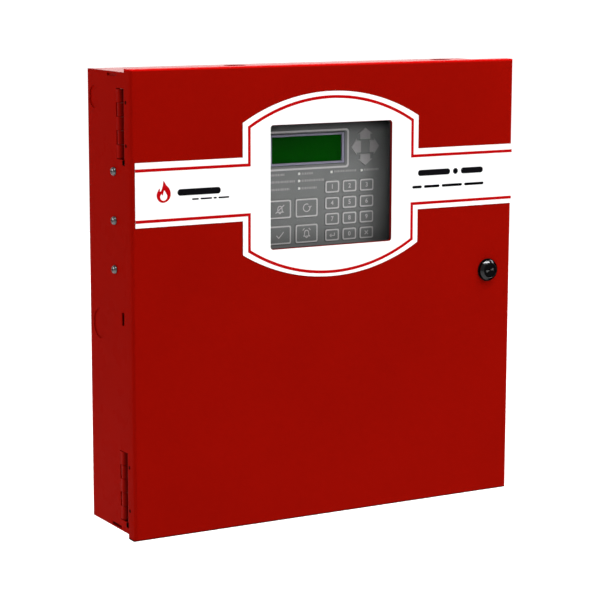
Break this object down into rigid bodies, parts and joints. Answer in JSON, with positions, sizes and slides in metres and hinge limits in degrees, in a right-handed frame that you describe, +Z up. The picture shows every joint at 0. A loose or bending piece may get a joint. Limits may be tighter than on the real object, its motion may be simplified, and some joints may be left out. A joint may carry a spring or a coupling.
{
  "type": "fire alarm control panel",
  "caption": "Wall-mounted red steel fire alarm control panel: hinged, windowed door with a cam lock over a display, keypad, circuit board, transformer and batteries.",
  "frame": {"origin": "centre of the back (wall) face, level with the middle of the door", "axes": "+Z up, the door faces -Y, the back face lies on Y = 0 and its outward normal is +Y, +X to the right seen from the front"},
  "size_m": [0.4157, 0.1014, 0.432],
  "materials": {
    "red_paint": "semi-gloss powder coat",
    "zinc_plate": "zinc plated",
    "chrome": "polished",
    "label_white": "printed vinyl, satin",
    "clear_acrylic": "clear",
    "gasket_rubber": "matt",
    "black_plastic": "satin black",
    "bracket_grey": "matt grey paint",
    "overlay_grey": "printed polycarbonate film",
    "key_film": "printed polycarbonate film",
    "circuit_board": "green solder mask",
    "lcd_frame": "blued metal frame",
    "lcd_green": "dark green display",
    "light_guide": "milky",
    "terminal_green": "moulded",
    "core_steel": "varnished laminations and tape",
    "battery_case": "moulded ABS",
    "black_wire": "PVC",
    "red_wire": "PVC"
  },
  "bodies": {
    "cabinet": {"backbox_wrap": "red_paint", "top_panel": "red_paint", "bottom_panel": "red_paint", "lock_strike": "zinc_plate", "bracket_screw_1": "chrome", "bracket_screw_2": "chrome", "bracket_screw_3": "chrome", "hinge_upper_box_leaf": "red_paint", "hinge_upper_pin": "zinc_plate", "hinge_lower_box_leaf": "red_paint", "hinge_lower_pin": "zinc_plate", "display_bracket": "bracket_grey", "keypad_overlay": "overlay_grey", "display_board": "circuit_board", "lcd_bezel": "lcd_frame", "lcd_glass": "lcd_green", "led_light_guide": "light_guide", "main_board": "circuit_board", "terminal_strip_top": "terminal_green", "terminal_strip_side": "terminal_green", "transformer": "core_steel", "battery_left": "battery_case", "battery_right": "battery_case", "battery_jumper": "black_wire", "battery_lead_red": "red_wire", "battery_lead_black": "black_wire"},
    "door": {"door_pan": "red_paint", "door_label": "label_white", "window_lens": "clear_acrylic", "window_gasket": "gasket_rubber", "hinge_upper_door_leaf": "red_paint", "hinge_lower_door_leaf": "red_paint", "lock_body": "chrome", "lock_trim_ring": "black_plastic", "lock_nut": "zinc_plate"},
    "lock": {"lock_plug": "black_plastic", "lock_cam": "zinc_plate", "lock_cam_screw": "zinc_plate"},
    "key_1": {"key_1": "key_film"},
    "key_2": {"key_2": "key_film"},
    "key_3": {"key_3": "key_film"},
    "key_4": {"key_4": "key_film"},
    "key_5": {"key_5": "key_film"},
    "key_6": {"key_6": "key_film"},
    "key_7": {"key_7": "key_film"},
    "key_8": {"key_8": "key_film"},
    "key_9": {"key_9": "key_film"},
    "key_enter": {"key_enter": "key_film"},
    "key_0": {"key_0": "key_film"},
    "key_clear": {"key_clear": "key_film"},
    "key_silence": {"key_silence": "key_film"},
    "key_reset": {"key_reset": "key_film"},
    "key_acknowledge": {"key_acknowledge": "key_film"},
    "key_drill": {"key_drill": "key_film"},
    "key_arrow_up": {"key_arrow_up": "key_film"},
    "key_arrow_down": {"key_arrow_down": "key_film"},
    "key_arrow_left": {"key_arrow_left": "key_film"},
    "key_arrow_right": {"key_arrow_right": "key_film"}
  },
  "joints": [
    {"name": "door_hinge", "type": "hinge", "parent": "cabinet", "child": "door", "pos_m": [-0.2003, -0.0655, 0], "axis": [0, 0, -1], "range_deg": [0, 105]},
    {"name": "lock_turn", "type": "hinge", "parent": "door", "child": "lock", "pos_m": [0.1796, -0.096, 0.009], "axis": [0, 1, 0], "range_deg": [0, 90]},
    {"name": "key_1_press", "type": "slide", "parent": "cabinet", "child": "key_1", "axis": [0, 1, 0], "range_m": [0, 0.0005], "stiffness_N_per_m": 600},
    {"name": "key_2_press", "type": "slide", "parent": "cabinet", "child": "key_2", "axis": [0, 1, 0], "range_m": [0, 0.0005], "stiffness_N_per_m": 600},
    {"name": "key_3_press", "type": "slide", "parent": "cabinet", "child": "key_3", "axis": [0, 1, 0], "range_m": [0, 0.0005], "stiffness_N_per_m": 600},
    {"name": "key_4_press", "type": "slide", "parent": "cabinet", "child": "key_4", "axis": [0, 1, 0], "range_m": [0, 0.0005], "stiffness_N_per_m": 600},
    {"name": "key_5_press", "type": "slide", "parent": "cabinet", "child": "key_5", "axis": [0, 1, 0], "range_m": [0, 0.0005], "stiffness_N_per_m": 600},
    {"name": "key_6_press", "type": "slide", "parent": "cabinet", "child": "key_6", "axis": [0, 1, 0], "range_m": [0, 0.0005], "stiffness_N_per_m": 600},
    {"name": "key_7_press", "type": "slide", "parent": "cabinet", "child": "key_7", "axis": [0, 1, 0], "range_m": [0, 0.0005], "stiffness_N_per_m": 600},
    {"name": "key_8_press", "type": "slide", "parent": "cabinet", "child": "key_8", "axis": [0, 1, 0], "range_m": [0, 0.0005], "stiffness_N_per_m": 600},
    {"name": "key_9_press", "type": "slide", "parent": "cabinet", "child": "key_9", "axis": [0, 1, 0], "range_m": [0, 0.0005], "stiffness_N_per_m": 600},
    {"name": "key_enter_press", "type": "slide", "parent": "cabinet", "child": "key_enter", "axis": [0, 1, 0], "range_m": [0, 0.0005], "stiffness_N_per_m": 600},
    {"name": "key_0_press", "type": "slide", "parent": "cabinet", "child": "key_0", "axis": [0, 1, 0], "range_m": [0, 0.0005], "stiffness_N_per_m": 600},
    {"name": "key_clear_press", "type": "slide", "parent": "cabinet", "child": "key_clear", "axis": [0, 1, 0], "range_m": [0, 0.0005], "stiffness_N_per_m": 600},
    {"name": "key_silence_press", "type": "slide", "parent": "cabinet", "child": "key_silence", "axis": [0, 1, 0], "range_m": [0, 0.0005], "stiffness_N_per_m": 600},
    {"name": "key_reset_press", "type": "slide", "parent": "cabinet", "child": "key_reset", "axis": [0, 1, 0], "range_m": [0, 0.0005], "stiffness_N_per_m": 600},
    {"name": "key_acknowledge_press", "type": "slide", "parent": "cabinet", "child": "key_acknowledge", "axis": [0, 1, 0], "range_m": [0, 0.0005], "stiffness_N_per_m": 600},
    {"name": "key_drill_press", "type": "slide", "parent": "cabinet", "child": "key_drill", "axis": [0, 1, 0], "range_m": [0, 0.0005], "stiffness_N_per_m": 600},
    {"name": "key_arrow_up_press", "type": "slide", "parent": "cabinet", "child": "key_arrow_up", "axis": [0, 1, 0], "range_m": [0, 0.0005], "stiffness_N_per_m": 600},
    {"name": "key_arrow_down_press", "type": "slide", "parent": "cabinet", "child": "key_arrow_down", "axis": [0, 1, 0], "range_m": [0, 0.0005], "stiffness_N_per_m": 600},
    {"name": "key_arrow_left_press", "type": "slide", "parent": "cabinet", "child": "key_arrow_left", "axis": [0, 1, 0], "range_m": [0, 0.0005], "stiffness_N_per_m": 600},
    {"name": "key_arrow_right_press", "type": "slide", "parent": "cabinet", "child": "key_arrow_right", "axis": [0, 1, 0], "range_m": [0, 0.0005], "stiffness_N_per_m": 600}
  ]
}
